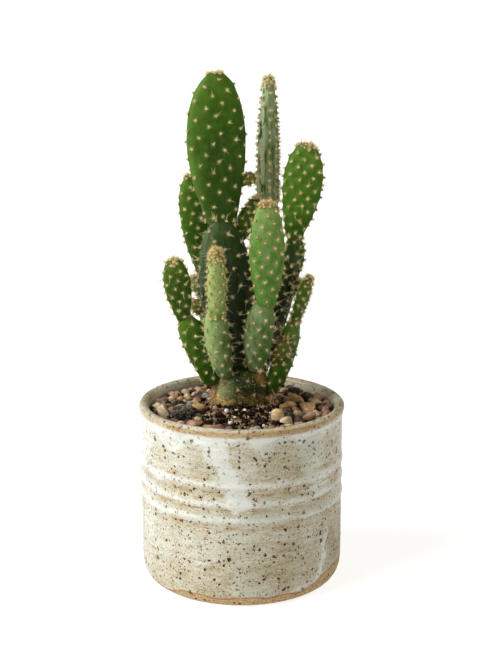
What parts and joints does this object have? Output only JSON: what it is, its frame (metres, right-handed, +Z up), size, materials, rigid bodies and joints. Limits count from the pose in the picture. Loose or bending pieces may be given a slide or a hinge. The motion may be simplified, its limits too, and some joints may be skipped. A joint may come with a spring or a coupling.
{
  "type": "potted paddle cactus",
  "caption": "Branching prickly pear of flat spiny green pads in gritty soil and gravel, in a round wheel-thrown speckled stoneware pot with a drain hole.",
  "frame": {"origin": "centre of the pot's foot, on the surface that the pot stands on", "axes": "+Z up along the pot's axis; -Y is the front, where the soil lies open before the stem; +X to its right"},
  "size_m": [0.14, 0.14, 0.3426],
  "materials": {
    "stoneware_glaze": "satin",
    "terracotta": "matte",
    "potting_soil": "matte",
    "gravel_stone": "matte",
    "perlite": "matte",
    "stem_skin": "matte",
    "skin_old": "satin",
    "skin_grey": "satin",
    "skin_leaf": "satin",
    "skin_young": "satin",
    "skin_dry": "satin",
    "areole_wool": "matte",
    "spine": "satin"
  },
  "bodies": {
    "root": {"pot": "stoneware_glaze", "drain_shard": "terracotta", "soil": "potting_soil", "gravel": "gravel_stone", "stem_and_root": "stem_skin", "pad_centre_old": "skin_old", "pad_crown_large": "skin_leaf", "pad_front_right_old": "skin_grey", "pad_front_right_young": "skin_young", "pad_front_left_old": "skin_grey", "pad_front_left_young": "skin_young", "pad_left_lower": "skin_leaf", "pad_left_upper": "skin_leaf", "pad_rear_left_lower": "skin_grey", "pad_rear_left_upper": "skin_leaf", "pad_rear_lower": "skin_old", "pad_rear_tall": "skin_grey", "pad_right_stem": "skin_old", "pad_right_crown": "skin_leaf", "pad_right_lower": "skin_old", "pad_right_upper": "skin_leaf", "bud_right_stem": "skin_leaf", "bud_right_small": "skin_leaf", "bud_right_dry": "skin_dry", "bud_left_upper": "skin_leaf", "bud_left_lower": "skin_old", "bud_crown_edge": "skin_leaf", "bud_shoulder_lower": "skin_leaf", "bud_shoulder_upper": "skin_leaf"}
  },
  "joints": []
}
